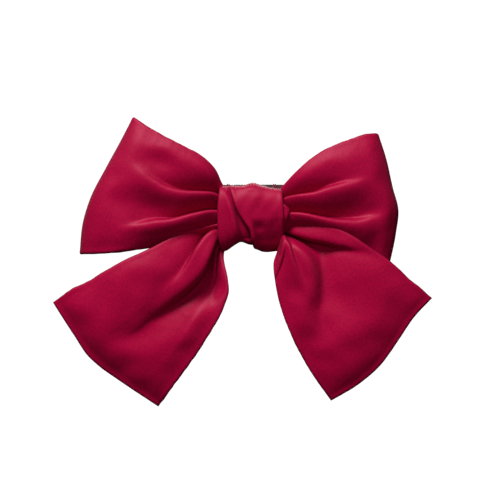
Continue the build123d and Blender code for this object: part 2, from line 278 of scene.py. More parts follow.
# ---- meshes -------------------------------------------------------------------------------
def normals_of(P, closed=False):
    if closed:
        di = np.roll(P, -1, 0) - np.roll(P, 1, 0)
    else:
        di = np.gradient(P, axis=0)
    dj = np.gradient(P, axis=1)
    n = np.cross(di, dj)
    return n / np.maximum(np.linalg.norm(n, axis=-1, keepdims=True), 1e-9)


def along(P, axis):
    """Length along the grid lines in one direction, in mm."""
    d = np.linalg.norm(np.diff(P, axis=axis), axis=-1)
    zero = np.zeros_like(np.take(d, [0], axis=axis))
    return np.concatenate([zero, np.cumsum(d, axis=axis)], axis=axis)


def sheet_faces(nu, nv, closed):
    """The faces of a thick sheet: its front, its back and the edges that join them."""
    front = np.arange(nu * nv).reshape(nu, nv)
    back = front + nu * nv
    rows = nu if closed else nu - 1
    i = np.arange(rows)
    k = (i + 1) % nu
    faces = [
        np.stack([front[i, :-1], front[i, 1:], front[k, 1:], front[k, :-1]], -1).reshape(-1, 4),
        np.stack([back[i, :-1], back[k, :-1], back[k, 1:], back[i, 1:]], -1).reshape(-1, 4),
        np.stack([front[i, 0], front[k, 0], back[k, 0], back[i, 0]], -1),
        np.stack([front[i, -1], back[i, -1], back[k, -1], front[k, -1]], -1),
    ]
    if not closed:
        near, far = front[0], back[0]
        faces.append(np.stack([near[:-1], far[:-1], far[1:], near[1:]], -1))
        near, far = front[-1], back[-1]
        faces.append(np.stack([near[:-1], near[1:], far[1:], far[:-1]], -1))
    return np.concatenate(faces)


def sheet_mesh(name, P, thick, round_edge, material, closed=False, rounded_end=False):
    """A sheet or band: the grid P, given thickness, with edges that round off.

    The grid's first direction runs along the cloth and may be closed into a ring. Its far end
    is rounded off too where rounded_end is set. The other ends are hidden in the knot.
    """
    N = normals_of(P, closed)
    across = along(P, 1)
    lengthwise = along(P, 0)
    to_edge = np.minimum(across, across[:, -1:] - across)
    if rounded_end:
        to_edge = np.minimum(to_edge, lengthwise[-1:, :] - lengthwise)
    r = np.clip(to_edge / round_edge, 0, 1)
    half = thick / 2 * (0.12 + 0.88 * np.sqrt(1 - (1 - r) ** 2))
    half = half * (1 + 0.15 * bell(to_edge - 1.6, 1.1))  # the hem's double cloth is thicker
    front = to_row(P + N * half[..., None])
    back = to_row(P - N * half[..., None])
    verts = np.concatenate([front.reshape(-1, 3), back.reshape(-1, 3)])
    faces = sheet_faces(*P.shape[:2], closed)
    mesh = bpy.data.meshes.new(name)
    mesh.from_pydata(verts.tolist(), [], faces.tolist())
    mesh.polygons.foreach_set("use_smooth", np.ones(len(faces), bool))
    uv = np.stack([lengthwise, across], -1).reshape(-1, 2) / 10
    uv = np.concatenate([uv, uv])
    corners = np.zeros(len(mesh.loops), np.int32)
    mesh.loops.foreach_get("vertex_index", corners)
    layer = mesh.uv_layers.new(name="cloth")
    layer.data.foreach_set("uv", uv[corners].astype(np.float32).ravel())
    edge = np.concatenate([to_edge.ravel(), to_edge.ravel()])
    attribute = mesh.attributes.new("edge_mm", "FLOAT", "POINT")
    attribute.data.foreach_set("value", edge.astype(np.float32))
    mesh.update()
    mesh.materials.append(material)
    obj = bpy.data.objects.new(name, mesh)
    bpy.context.scene.collection.objects.link(obj)
    return obj


# ---- materials ----------------------------------------------------------------------------
class Shader:
    """A node material round one Principled shader."""

    def __init__(self, name):
        self.material = bpy.data.materials.new(name)
        self.material.use_nodes = True
        self.tree = self.material.node_tree
        self.tree.nodes.clear()
        self.surface = self.add("BsdfPrincipled")
        self.add("OutputMaterial", {"Surface": self.surface.outputs["BSDF"]})

    def put(self, socket, value):
        """Sets a socket to a value, or joins another node's output to it."""
        if isinstance(value, bpy.types.NodeSocket):
            self.tree.links.new(value, socket)
        else:
            socket.default_value = value

    def add(self, kind, inputs=None, **settings):
        node = self.tree.nodes.new("ShaderNode" + kind)
        for name, value in settings.items():
            setattr(node, name, value)
        for name, value in (inputs or {}).items():
            self.put(node.inputs[name], value)
        return node

    def set(self, **values):
        """Sets the Principled shader's inputs. Underscores stand for spaces in their names."""
        for name, value in values.items():
            self.put(self.surface.inputs[name.replace("_", " ")], value)

    def place(self, kind="Object"):
        return self.add("TexCoord").outputs[kind]

    def stretched(self, place, scale, turn=0.0):
        inputs = {"Vector": place, "Scale": scale, "Rotation": (0, 0, turn)}
        return self.add("Mapping", inputs).outputs["Vector"]

    def noise(self, place, scale, detail, rough):
        inputs = {"Vector": place, "Scale": scale, "Detail": detail, "Roughness": rough}
        return self.add("TexNoise", inputs).outputs["Fac"]

    def mix(self, factor, first, second):
        """A colour between two: the Mix node's inputs 0, 6 and 7 are the ones for colours."""
        mixer = self.add("Mix", data_type="RGBA")
        for i, value in ((0, factor), (6, first), (7, second)):
            self.put(mixer.inputs[i], value)
        return mixer.outputs[2]

    def math(self, operation, first, second):
        return self.add("Math", {0: first, 1: second}, operation=operation).outputs[0]

    def mapped(self, value, to_min, to_max, from_min=0.0, from_max=1.0):
        inputs = {
            "Value": value, "From Min": from_min, "From Max": from_max,
            "To Min": to_min, "To Max": to_max,
        }
        return self.add("MapRange", inputs).outputs["Result"]

    def bump(self, height, strength, distance, normal=None):
        inputs = {"Height": height, "Strength": strength, "Distance": distance}
        if normal:
            inputs["Normal"] = normal
        return self.add("Bump", inputs).outputs["Normal"]


def scaled(colour, share):
    return (*(share * c for c in colour), 1)


def satin_material(base, deep, light):
    """Satin: twill grain, soft sheen, slight random changes of tone, and painted shade along its
    edges and where it turns away.
    """
    shader = Shader("satin")
    place = shader.place()
    blotch = shader.noise(place, 28, 5, 0.6)
    colour = shader.mix(blotch, scaled(deep, 1), scaled(light, 1))
    colour = shader.mix(0.55, colour, scaled(base, 1))
    # short floats of yarn, on a slant across the strip
    weave = shader.stretched(shader.place("UV"), (13, 6, 1), math.radians(35))
    yarn = shader.noise(weave, 1.0, 3, 0.7)
    grain = shader.mapped(yarn, 0.0, 0.55, 0.36, 0.66)
    colour = shader.mix(grain, colour, scaled(deep, 0.55))
    # painted shade: the turned edges, and the cloth wherever it curves out of sight, are painted
    # darker
    edge = shader.add("Attribute", attribute_name="edge_mm").outputs["Fac"]
    rim = shader.mapped(edge, 0.6, 0.0, 0.15, 0.9)
    # painted shade: the Facing term darkens the colour as the cloth turns away from the camera
    turned_away = shader.add("LayerWeight", {"Blend": 0.3}).outputs["Facing"]
    away = shader.math("MULTIPLY", turned_away, 0.8)
    # painted shade mixed in towards the deep colour, the stronger of the edge and turned-away
    # shade
    colour = shader.mix(shader.math("MAXIMUM", rim, away), colour, scaled(deep, 0.25))
    towards = shader.math("SUBTRACT", 1.0, turned_away)
    fine = shader.bump(yarn, 0.5, 0.0001)
    crumple = shader.bump(shader.noise(place, 75, 3, 0.5), 0.3, 0.0006, fine)
    shader.set(
        Base_Color=colour,
        Roughness=shader.mapped(blotch, 0.46, 0.6),
        Specular_IOR_Level=shader.math("MULTIPLY", towards, 0.22),
        Specular_Tint=(1.0, 0.6, 0.75, 1),
        Anisotropic=0.4,
        Sheen_Weight=shader.math("MULTIPLY", towards, 0.09),
        Sheen_Roughness=0.4,
        Sheen_Tint=(1.0, 0.45, 0.6, 1),
        Normal=crumple,
    )
    return shader.material


def thread_material():
    """Twisted polyester thread."""
    shader = Shader("thread")
    inputs = {"Vector": shader.place(), "Scale": 900, "Distortion": 0.6}
    twist = shader.add("TexWave", inputs, bands_direction="DIAGONAL").outputs["Fac"]
    shader.set(
        Base_Color=shader.mix(twist, (0.12, 0.002, 0.02, 1), (0.36, 0.01, 0.07, 1)),
        Roughness=0.55,
        Sheen_Weight=0.3,
        Normal=shader.bump(twist, 0.6, 0.0001),
    )
    return shader.material


def felt_material():
    shader = Shader("felt")
    fibre = shader.noise(shader.place(), 900, 6, 0.7)
    shader.set(
        Base_Color=shader.mix(fibre, (0.035, 0.001, 0.006, 1), (0.16, 0.006, 0.035, 1)),
        Roughness=0.95,
        Sheen_Weight=0.5,
        Normal=shader.bump(fibre, 0.9, 0.0002),
    )
    return shader.material


def steel_material(name, tint, grain):
    """Plated sheet steel with a fine brushed grain, dull patches and softened corners."""
    shader = Shader(name)
    place = shader.place()
    brushed = shader.noise(shader.stretched(place, grain), 1.0, 5, 0.6)
    patches = shader.noise(place, 140, 4, 0.6)
    dark = scaled(tint, 0.72)
    colour = shader.mix(patches, dark, scaled(tint, 1))
    colour = shader.mix(shader.math("MULTIPLY", brushed, 0.3), colour, dark)
    rounded = shader.add("Bevel", {"Radius": 0.00015}).outputs["Normal"]
    shader.set(
        Base_Color=colour,
        Metallic=1.0,
        Roughness=shader.mapped(patches, 0.22, 0.42),
        Normal=shader.bump(brushed, 0.2, 0.00004, rounded),
    )
    return shader.material


SATIN = satin_material((0.44, 0.0006, 0.045), (0.34, 0.0004, 0.03), (0.53, 0.0015, 0.06))
THREAD = thread_material()
FELT = felt_material()
STEEL = steel_material("nickel_steel", (0.62, 0.61, 0.6), (300, 300, 4000))
SPRING_STEEL = steel_material("spring_steel", (0.42, 0.42, 0.44), (90, 300, 5000))


# ---- sheets shared by loops and tails -----------------------------------------------------
CLOTH = 1.15
CLOTH_EDGE = 1.3
POINTS_ACROSS = 130


class Sheet:
    """A sheet laid out in its front view, ready to be given its depth."""

    def __init__(self, shape, folds, u, seed):
        v = np.linspace(0, 1, POINTS_ACROSS)
        self.U, self.V = np.meshgrid(u, v, indexing="ij")
        self.flat = patch(*shape, self.U, self.V)
        self.seed = seed
        span = self.flat[:, -1] - self.flat[:, 0]
        self.width = np.linalg.norm(span, axis=-1)[:, None]
        self.across = span / self.width
        self.height, self.slide = fold_heights(folds, self.U, self.V, self.width)

    def uneven(self, size, seed_step=0):
        x, z = self.flat[..., 0], self.flat[..., 1]
        return ripples(x, z, self.seed + seed_step, size)

    def settled(self, f, fade, length):
        """The sheet at depth f, its cloth slid along its folds, after it has settled."""
        slide = self.slide + 0.22 * self.uneven(11, seed_step=9) * fade
        plane = self.flat + slide[..., None] * self.across[:, None, :]
        P = np.stack([plane[..., 0], f, plane[..., 1]], -1)
        return settle(P, held(self.U, self.V, self.width, length))


def is_right(shape):
    outer = shape[1]
    return outer[0][0] > 0


# ---- loops --------------------------------------------------------------------------------
LOOP_LENGTH = 80
LOOP_NOSE = 0.035  # the share of u over which the outer fold rounds off
UPPER_FALL, UPPER_FALL_REACH = 0.6194, 0.38  # where in v a side starts to fall back, and over what
LEAST_DEPTH = 0.9


def loop_side(shape, side, seed, rear):
    """The front or the back of a loop, from the knot (u = 0) to the outer fold (u = 1)."""
    u = 1 - (1 - np.linspace(0, 1, 150)) ** 1.25
    sheet = Sheet(shape, side["folds"], u, seed)
    U, V, fall = sheet.U, sheet.V, side["fall"]
    low = ramp(U, *fall["low"]) * np.clip(1 - V / fall["reach"], 0, 1) ** 2
    high = fall["high"] * np.clip((V - UPPER_FALL) / UPPER_FALL_REACH, 0, 1) ** 2
    past_nose = np.clip((U - (1 - LOOP_NOSE)) / LOOP_NOSE, 0, 1)
    f = ramp(U, *side["depth"]) * (1 - low - high) + sheet.height
    f = f + 0.35 * sheet.uneven(34) * smooth(0.05, 0.4, U)
    f = np.maximum(f, LEAST_DEPTH) * np.sqrt(1 - past_nose**2)
    fade = smooth(0.2, 0.6, U) * (1 - smooth(0.97, 1, U))
    return sheet.settled(-f if rear else f, fade, LOOP_LENGTH)


def make_loop(name, shape, front, seed):
    ahead = loop_side(shape, front, seed, False)
    behind = loop_side(shape, REAR_SIDE, seed + 50, True)
    strip = np.concatenate([ahead, behind[::-1][1:]])
    if is_right(shape):
        strip = strip[:, ::-1]
    return sheet_mesh(name, strip, CLOTH, CLOTH_EDGE, SATIN)


# Each shape: the edges at the knot, at the outer fold, below and above, as (x, z) points.
LEFT_LOOP = (
    [(-12.0, -7.5), (-11.5, 1.5), (-12.0, 12.0)],
    [(-92.3, -20.2), (-90.6, -3.4), (-86.7, 9.6), (-78.0, 26.6), (-70.5, 40.3), (-63.4, 54.0)],
    [(-12.0, -7.5), (-18.5, -8.5), (-30.0, -12.0), (-53.1, -16.5), (-63.6, -18.0), (-79.5, -19.8),
     (-92.3, -20.2)],
    [(-12.0, 12.0), (-16.0, 18.4), (-19.6, 25.9), (-24.8, 31.3), (-38.2, 38.9), (-54.2, 47.6),
     (-63.4, 54.0)],
)
RIGHT_LOOP = (
    [(12.0, -7.5), (11.5, 1.5), (12.0, 11.0)],
    [(73.4, -28.4), (77.5, -8.6), (78.8, 3.8), (75.8, 15.8), (72.3, 31.3), (67.8, 45.2)],
    [(12.0, -7.5), (18.5, -8.5), (30.0, -12.0), (50.0, -19.5), (73.4, -28.4)],
    [(12.0, 11.0), (15.7, 15.4), (24.8, 25.1), (35.3, 33.7), (49.0, 40.1), (62.7, 44.7),
     (67.8, 45.2)],
)

FRONT_DEPTH = [(0, 3.6), (0.1, 4.8), (0.25, 9.0), (0.5, 12.0), (0.8, 10.5), (0.93, 7.0), (1, 2.4)]
REAR_DEPTH = [(0, 3.4), (0.1, 4.4), (0.3, 7.6), (0.6, 9.0), (0.9, 5.2), (1, 2.4)]

# The back of both loops: two plain pleats.
REAR_PLEAT_LIFE = [(0, 0.6), (0.2, 1), (0.4, 0.8), (0.75, 0), (1, 0)]
REAR_SIDE = dict(
    depth=REAR_DEPTH,
    fall=dict(low=[(0, 0.4), (1, 0.4)], reach=0.35, high=0.5),
    folds=[
        lip([(0, v), (1, v)], 1.8, 2.6, 9, 6, (0.5, 5.0), REAR_PLEAT_LIFE) for v in (0.62, 0.31)
    ],
)

LEFT_LOOP_FOLDS = [
    # the upper pleat
    lip([(0, 0.70), (0.13, 0.69), (0.26, 0.61), (0.4, 0.56), (0.5, 0.57), (0.61, 0.61),
         (0.77, 0.68), (1, 0.75)],
        3.2, 5.0, 13, 7, (0.35, 5.0),
        [(0, 0.5), (0.12, 0.9), (0.3, 1), (0.5, 0.8), (0.7, 0.35), (0.88, 0), (1, 0)]),
    # the long lower pleat
    lip([(0, 0.42), (0.1, 0.41), (0.28, 0.32), (0.41, 0.26), (0.52, 0.25), (0.67, 0.21), (1, 0.2)],
        2.6, 6.6, 22, 11, (0.35, 4.0),
        [(0, 0.5), (0.12, 0.9), (0.3, 1), (0.45, 0.8), (0.6, 0.35), (0.78, 0), (1, 0)]),
    # two shallow dents further out
    swell([(0, 0.4), (0.5, 0.37), (0.7, 0.38), (1, 0.4)], -2.2, (4, 10),
          [(0, 0), (0.35, 0), (0.58, 1), (0.75, 0.5), (0.9, 0), (1, 0)]),
    swell([(0, 0.8), (0.5, 0.77), (0.7, 0.79), (1, 0.8)], -2.2, (5, 8),
          [(0, 0), (0.45, 0), (0.66, 1), (0.85, 0), (1, 0)]),
    # the small pleat by the lower edge, and the roll along the upper one
    lip([(0, 0.17), (0.26, 0.12), (0.8, 0.1), (1, 0.1)], 1.8, 2.4, 8, 4, (0.5, 4.0),
        [(0, 0.6), (0.25, 0.8), (0.45, 0.2), (0.6, 0), (1, 0)]),
    swell([(0, 0.9), (0.5, 0.9), (1, 0.88)], 1.6, (4, 8), [(0, 0), (0.3, 1), (0.7, 0.8), (1, 0)]),
]
RIGHT_LOOP_FOLDS = [
    # the upper pleat
    lip([(0, 0.68), (0.12, 0.68), (0.21, 0.64), (0.35, 0.6), (0.52, 0.62), (0.67, 0.64), (1, 0.7)],
        3.2, 5.0, 12, 7, (0.35, 5.0),
        [(0, 0.5), (0.12, 0.9), (0.3, 1), (0.5, 0.85), (0.7, 0.4), (0.88, 0), (1, 0)]),
    # the long lower pleat
    lip([(0, 0.39), (0.14, 0.37), (0.26, 0.34), (0.39, 0.3), (0.53, 0.29), (0.68, 0.31),
         (0.82, 0.36), (1, 0.42)],
        2.6, 6.4, 16, 11, (0.35, 4.0),
        [(0, 0.5), (0.12, 0.9), (0.35, 1), (0.55, 0.9), (0.75, 0.5), (0.93, 0), (1, 0)]),
    # a shallow dent further out, and the roll along the upper edge
    swell([(0, 0.4), (0.58, 0.41), (0.73, 0.44), (1, 0.5)], -2.0, (4, 10),
          [(0, 0), (0.4, 0), (0.65, 1), (0.8, 0.5), (0.95, 0), (1, 0)]),
    swell([(0, 0.92), (0.5, 0.9), (1, 0.88)], 1.6, (4, 8), [(0, 0), (0.3, 1), (0.7, 0.6), (1, 0)]),
]
# How the fronts fall back towards their lower and upper edges, as shares of their depth.
LEFT_LOOP_FALL = dict(
    low=[(0, 0.9), (0.35, 0.9), (0.5, 0.6), (0.7, 0.2), (1, 0.1)], reach=0.24, high=0.5
)
RIGHT_LOOP_FALL = dict(low=[(0, 1), (0.6, 1), (0.8, 0.8), (1, 0.3)], reach=0.5, high=0.45)

left_loop = make_loop(
    "left_loop_satin",
    LEFT_LOOP,
    dict(depth=FRONT_DEPTH, fall=LEFT_LOOP_FALL, folds=LEFT_LOOP_FOLDS),
    seed=3,
)
right_loop = make_loop(
    "right_loop_satin",
    RIGHT_LOOP,
    dict(depth=FRONT_DEPTH, fall=RIGHT_LOOP_FALL, folds=RIGHT_LOOP_FOLDS),
    seed=21,
)


# ---- tails --------------------------------------------------------------------------------
TAIL_LENGTH = 105
TAIL_DEPTH = [(0, 1.5), (0.05, 3.6), (0.1, 6.6), (0.2, 10.4), (0.4, 11.8), (0.7, 11.6), (1, 10.8)]
SIDE_CURL_REACH = 7


def make_tail(name, shape, folds, curl, seed):
    """One tail: a flat double strip, hemmed at its sides and its slanted end.

    curl: how far the end, over a reach, and the low and high sides curl back, in mm.
    """
    sheet = Sheet(shape, folds, np.linspace(0, 1, 170), seed)
    U, V = sheet.U, sheet.V
    to_end = TAIL_LENGTH * (1 - U)
    to_low, to_high = V * sheet.width, (1 - V) * sheet.width
    f = ramp(U, *TAIL_DEPTH) + sheet.height * smooth(-0.02, 0.1, U)
    f = f - curl["end"] * np.exp(-((to_end / curl["reach"]) ** 1.6)) + 0.3 * bell(to_end, 2.2)
    f = f - curl["low"] * np.exp(-((to_low / SIDE_CURL_REACH) ** 1.5))
    f = f - curl["high"] * np.exp(-((to_high / SIDE_CURL_REACH) ** 1.5))
    f = f + 0.45 * sheet.uneven(38) * smooth(0.1, 0.5, U)
    P = sheet.settled(f, smooth(0.2, 0.6, U), TAIL_LENGTH)
    if is_right(shape):
        P = P[:, ::-1]
    return sheet_mesh(name, P, CLOTH, CLOTH_EDGE, SATIN, rounded_end=True)


# Each shape: the edges at the knot, at the slanted end, next to the other tail and over the
# loop, so that v runs from the inner edge to the one that lies over the loop.
LEFT_TAIL = (
    [(-12.5, -13.5), (-12.5, -10.0), (-12.5, -5.0)],
    [(-49.6, -101.5), (-71.0, -87.2), (-80.7, -80.4), (-87.5, -74.1), (-95.1, -62.8),
     (-106.3, -45.9)],
    [(-12.5, -13.5), (-14.7, -19.2), (-12.5, -33.5), (-12.0, -39.6), (-14.2, -47.2),
     (-24.5, -66.1), (-40.5, -88.8), (-49.6, -101.5)],
    [(-12.5, -5.0), (-18.3, -4.2), (-30.0, -7.0), (-42.4, -11.0), (-53.2, -16.5), (-71.8, -25.3),
     (-85.2, -33.3), (-98.8, -40.4), (-106.3, -45.9)],
)
RIGHT_TAIL = (
    [(12.5, -13.0), (12.5, -8.0), (12.5, -1.5)],
    [(42.4, -98.2), (57.0, -89.3), (67.7, -80.3), (79.3, -64.4), (86.6, -53.7), (96.4, -43.4)],
    [(12.5, -13.0), (14.1, -17.8), (11.8, -25.1), (12.4, -33.8), (14.1, -43.2), (21.2, -63.5),
     (33.4, -85.5), (42.4, -98.2)],
    [(12.5, -1.5), (20.6, -1.1), (35.1, -3.2), (48.9, -7.6), (62.4, -15.8), (73.8, -24.0),
     (84.9, -33.9), (96.4, -43.4)],
)

LEFT_TAIL_FOLDS = [
    # the ridge that leaves the knot, between its upper groove and the long valley
    lip([(0, 0.82), (0.06, 0.8), (0.14, 0.77), (0.2, 0.72), (0.31, 0.63), (0.6, 0.6), (1, 0.6)],
        2.6, 7.0, 6, 5, (0.5, 12),
        [(0, 0.8), (0.06, 1.1), (0.2, 1), (0.33, 0.4), (0.5, 0), (1, 0)]),
    lip([(0, 0.76), (0.05, 0.68), (0.1, 0.56), (0.15, 0.5), (0.21, 0.46), (0.28, 0.43),
         (0.37, 0.43), (0.48, 0.45), (0.6, 0.47), (1, 0.5)],
        4.0, 8.5, 12, 8, (0.8, 12),
        [(0, 0.8), (0.08, 1), (0.3, 1), (0.5, 0.7), (0.7, 0.4), (0.85, 0), (1, 0)],
        way=-1),
    # the pool between the valley and the inner edge, and the short pleat above it
    swell([(0, 0.2), (0.33, 0.2), (1, 0.2)], -3.4, (3, 9),
          [(0, 0), (0.16, 0), (0.3, 1), (0.45, 0), (1, 0)]),
    lip([(0, 0.44), (0.06, 0.42), (0.11, 0.4), (0.17, 0.34), (0.25, 0.26), (0.5, 0.2), (1, 0.2)],
        5.4, 3.0, 4, 4, (0.4, 9),
        [(0, 0.6), (0.06, 1), (0.15, 1), (0.26, 0.3), (0.36, 0), (1, 0)],
        over=0.3, way=-1),
    # two broad rolls further down
    swell([(0, 0.8), (0.5, 0.86), (1, 0.8)], 2.0, (6, 14),
          [(0, 0), (0.25, 0), (0.5, 1), (0.8, 0.4), (1, 0)]),
    swell([(0, 0.3), (0.68, 0.28), (1, 0.3)], 0.5, (8, 16),
          [(0, 0), (0.45, 0), (0.68, 1), (0.9, 0.3), (1, 0)]),
]
RIGHT_TAIL_FOLDS = [
    # the flap along the upper edge, over its groove
    lip([(0, 0.74), (0.08, 0.7), (0.17, 0.73), (0.29, 0.77), (0.4, 0.83), (0.52, 0.92), (1, 1)],
        4.2, 5.0, 16, 7, (0.5, 10),
        [(0, 0.6), (0.1, 1), (0.28, 1), (0.42, 0.6), (0.6, 0), (1, 0)],
        over=0.4, way=-1),
    # the tongue that leaves the knot and curls away towards the inner edge
    lip([(0, 0.6), (0.08, 0.58), (0.17, 0.61), (0.26, 0.62), (0.34, 0.58), (0.42, 0.49),
         (0.48, 0.4), (0.56, 0.28), (0.64, 0.17), (1, 0.0)],
        5.0, 7.4, 12, 20, (1.6, 36),
        [(0, 0.6), (0.08, 1), (0.3, 1.1), (0.46, 1), (0.6, 0.5), (0.74, 0), (1, 0)],
        over=0.1),
    # the short pleat inside the tongue, and the roll of the inner edge
    lip([(0, 0.52), (0.09, 0.49), (0.16, 0.47), (0.21, 0.41), (0.29, 0.36), (0.41, 0.33),
         (0.7, 0.3), (1, 0.3)],
        3.0, 1.4, 5, 7, (0.8, 14),
        [(0, 0.4), (0.08, 1), (0.24, 1), (0.36, 0.5), (0.5, 0), (1, 0)],
        over=0.3),
    swell([(0, 0.3), (0.14, 0.3), (0.2, 0.06), (1, 0)], 1.8, (1.6, 4),
          [(0, 0), (0.08, 0.8), (0.16, 1), (0.24, 0), (1, 0)]),
    # a broad roll further down
    swell([(0, 0.3), (0.76, 0.27), (1, 0.3)], 1.4, (8, 16),
          [(0, 0), (0.6, 0.2), (0.76, 1), (0.92, 0.3), (1, 0)]),
]

left_tail = make_tail(
    "left_tail_satin",
    LEFT_TAIL,
    LEFT_TAIL_FOLDS,
    dict(end=3.6, reach=7, low=0.2, high=2.0),
    seed=31,
)
right_tail = make_tail(
    "right_tail_satin",
    RIGHT_TAIL,
    RIGHT_TAIL_FOLDS,
    dict(end=2.2, reach=6, low=0.9, high=1.2),
    seed=47,
)


# ---- knot ---------------------------------------------------------------------------------
BAND_THICK = 1.5
BAND_EDGE = 1.2
BAND_CORNER = 2.9  # 2 would make the band's ends round, and more makes them squarer
BAND_REACH = 18  # half the knot's height, where the bands turn round to the back
SLOPE_DEPTH = 4.4  # how far back the knot's lower right part leans at its lower edge
UNDER_FRONT, UNDER_BACK = 9.2, 8.6
OVER_FRONT, OVER_BACK = 10.6, 10.0


def band_grid(front, back, top, bottom, left, right, columns):
    """A band round the X axis, as x, f and z grids.

    left and right give its edges as functions of height, and top and bottom how far it reaches
    up and down as functions of x.
    """
    a = np.linspace(0, math.tau, 260, endpoint=False)[:, None]
    s = np.linspace(0, 1, columns)[None, :]
    depth = squared(np.cos(a), 2 / BAND_CORNER)
    rise = squared(np.sin(a), 2 / BAND_CORNER)
    x = left(rise * BAND_REACH) * (1 - s) + right(rise * BAND_REACH) * s
    z = np.where(rise > 0, rise * top(x), rise * bottom(x))
    f = np.where(depth > 0, depth * front, depth * back) + 0 * s
    return x, f, z


def facing_front(f, front):
    """0 on the band's back and ends, rising to 1 on its front."""
    return np.clip(f / front, 0, 1) ** 0.5


def under_left(z):
    z = np.clip(z, -18, 18)
    return ramp(z, (-18, -17.0), (-8, -18.0), (6, -18.2), (18, -17.2))


def under_right(z):
    """The strip's end, tucked in at the knot's right side, shows as a small pointed tab."""
    tab = ramp(
        z, (-18, 0), (-9, 0.4), (-3, 2.0), (3, 3.4), (5, 3.5), (7, 2.2), (9, 0.4), (12, 0), (18, 0)
    )
    return 16.8 + tab


def under_top(x):
    return ramp(x, (-19, 15.4), (-14, 16.0), (-5, 15.9), (5, 15.6), (21, 13.5))


def under_bottom(x):
    return ramp(
        x, (-19, 17.6), (-14, 17.6), (-9.6, 14.7), (-6.3, 12.9), (-1, 14.2), (6, 15.0), (21, 14.0)
    )


def over_left(z):
    z = np.clip(z, -18.5, 18.5)
    return ramp(
        z, (-18.5, 1.2), (-14, -0.1), (-9, -1.0), (-2.3, -4.6), (4, -8.0), (10, -10.0),
        (18.5, -12.2),
    )


def over_right(z):
    return 17.2 - 0.5 * ((z + 3) / 16) ** 2


def over_top(x):
    return ramp(x, (-13, 16.3), (-4, 16.4), (0.7, 17.8), (6.5, 15.9), (18, 13.9))


def over_bottom(x):
    return ramp(x, (-13, 15.2), (-1, 15.8), (2, 16.4), (6, 18.0), (13.5, 17.7), (18, 17.2))


def crease_line(z):
    """Where the under wrap dives below the over wrap: x at height z."""
    z = np.clip(z, -18, 18)
    return ramp(
        z, (-18, -3.0), (-10.6, -4.2), (-4.8, -5.7), (1.6, -7.6), (8.8, -9.9), (18, -12.6)
    )


def slope_back(x, z):
    """How far the knot's lower right part leans back, below a soft break and beside a slanting
    ridge, with a shallow hollow where the two meet."""
    break_line = -1.4 + 0.1 * (x - 2)
    lean = np.clip((break_line - z) / 15.5, 0, 1)
    hollow = bell(x - 4.5, 3.4) * bell(z + 5.6, 2.6)
    return (lean + 0.16 * hollow) * smooth(0.1, 3.0, x + 0.25 * z + 2.2)


def band_mesh(name, x, f, z):
    grid = np.stack([x, f, z], -1)[::-1]
    return sheet_mesh(name, grid, BAND_THICK, BAND_EDGE, SATIN, closed=True)


def make_under_wrap():
    """The band's first pass, seen left of the over wrap and as a tab at the right."""
    x, f, z = band_grid(
        UNDER_FRONT, UNDER_BACK, under_top, under_bottom, under_left, under_right, 150
    )
    from_crease = x - crease_line(z)
    furrows = 0.35 * np.sin(x * 1.1 + z * 0.12) * smooth(-18, -10, x)
    below_over = (1 - smooth(12, 16, x)) * (1 - smooth(11, 14, -z))
    dive = 2.3 * smooth(-3.2, 0.3, from_crease) * below_over
    roll = 0.4 * bell(from_crease + 3.4, 1.5)
    shape = furrows - dive + roll - SLOPE_DEPTH * slope_back(x, z)
    f = f + facing_front(f, UNDER_FRONT) * shape
    return band_mesh("knot_under_wrap_satin", x, f, z)


def make_over_wrap():
    """The band's outer pass, whose left edge crosses the knot on a slant."""
    x, f, z = band_grid(OVER_FRONT, OVER_BACK, over_top, over_bottom, over_left, over_right, 130)
    faces = facing_front(f, OVER_FRONT)
    lower_rim = bell(z + 15.5, 2.6)
    f = f - faces * slope_back(x, z) * (SLOPE_DEPTH - 0.8 * lower_rim)
    f = f + faces * (0.5 * bell(z - 15.0, 1.6) + 0.35 * ripples(x, z, 5, 17))
    return band_mesh("knot_over_wrap_satin", x, f, z)


# The gathered middle and the thread round it have rounded-rectangle sections, seen along X.
CORE_DEPTH, CORE_HEIGHT, CORE_HALF = 4.2, 11.2, 11
CORE_CORNER = 0.7


def make_core():
    """The gathered middle: a bundle of pleats that run along X, rounded off inside the knot."""
    a = np.linspace(0, math.tau, 160, endpoint=False)[:, None]
    s = np.linspace(-1, 1, 60)[None, :]
    round_off = np.sqrt(1 - np.abs(s) ** 5)
    waist = 1 - 0.05 * bell(s * CORE_HALF, 3.2)
    pleats = 0.4 * np.cos(22 * a + 0.6 * np.sin(3 * s))
    bundle = np.stack([
        CORE_HALF * s + 0 * a,
        squared(np.cos(a), CORE_CORNER) * (CORE_DEPTH + pleats) * round_off * waist,
        squared(np.sin(a), CORE_CORNER) * (CORE_HEIGHT + pleats) * round_off * waist,
    ], -1)
    return sheet_mesh("gathered_core_satin", bundle[::-1], 0.6, 0.6, SATIN, closed=True)


def make_winding():
    """Thread wound seven times round the gathers."""
    turns, thread_r, pitch, clear = 7, 0.35, 0.8, 0.7
    t = np.linspace(0, turns * math.tau, turns * 60)
    line = np.stack([
        pitch * (t / math.tau - turns / 2),
        squared(np.cos(t), CORE_CORNER) * (CORE_DEPTH + clear),
        squared(np.sin(t), CORE_CORNER) * (CORE_HEIGHT + clear),
    ], -1)
    sideways = np.array([1.0, 0, 0])
    outward = np.cross(np.gradient(line, axis=0), sideways)
    outward /= np.linalg.norm(outward, axis=-1, keepdims=True)
    a = np.linspace(0, math.tau, 9)[None, :, None]
    strand = line[:, None] + thread_r * (np.cos(a) * outward[:, None] + np.sin(a) * sideways)
    return sheet_mesh("gather_thread_winding", strand, 0.1, 0.05, THREAD, rounded_end=True)


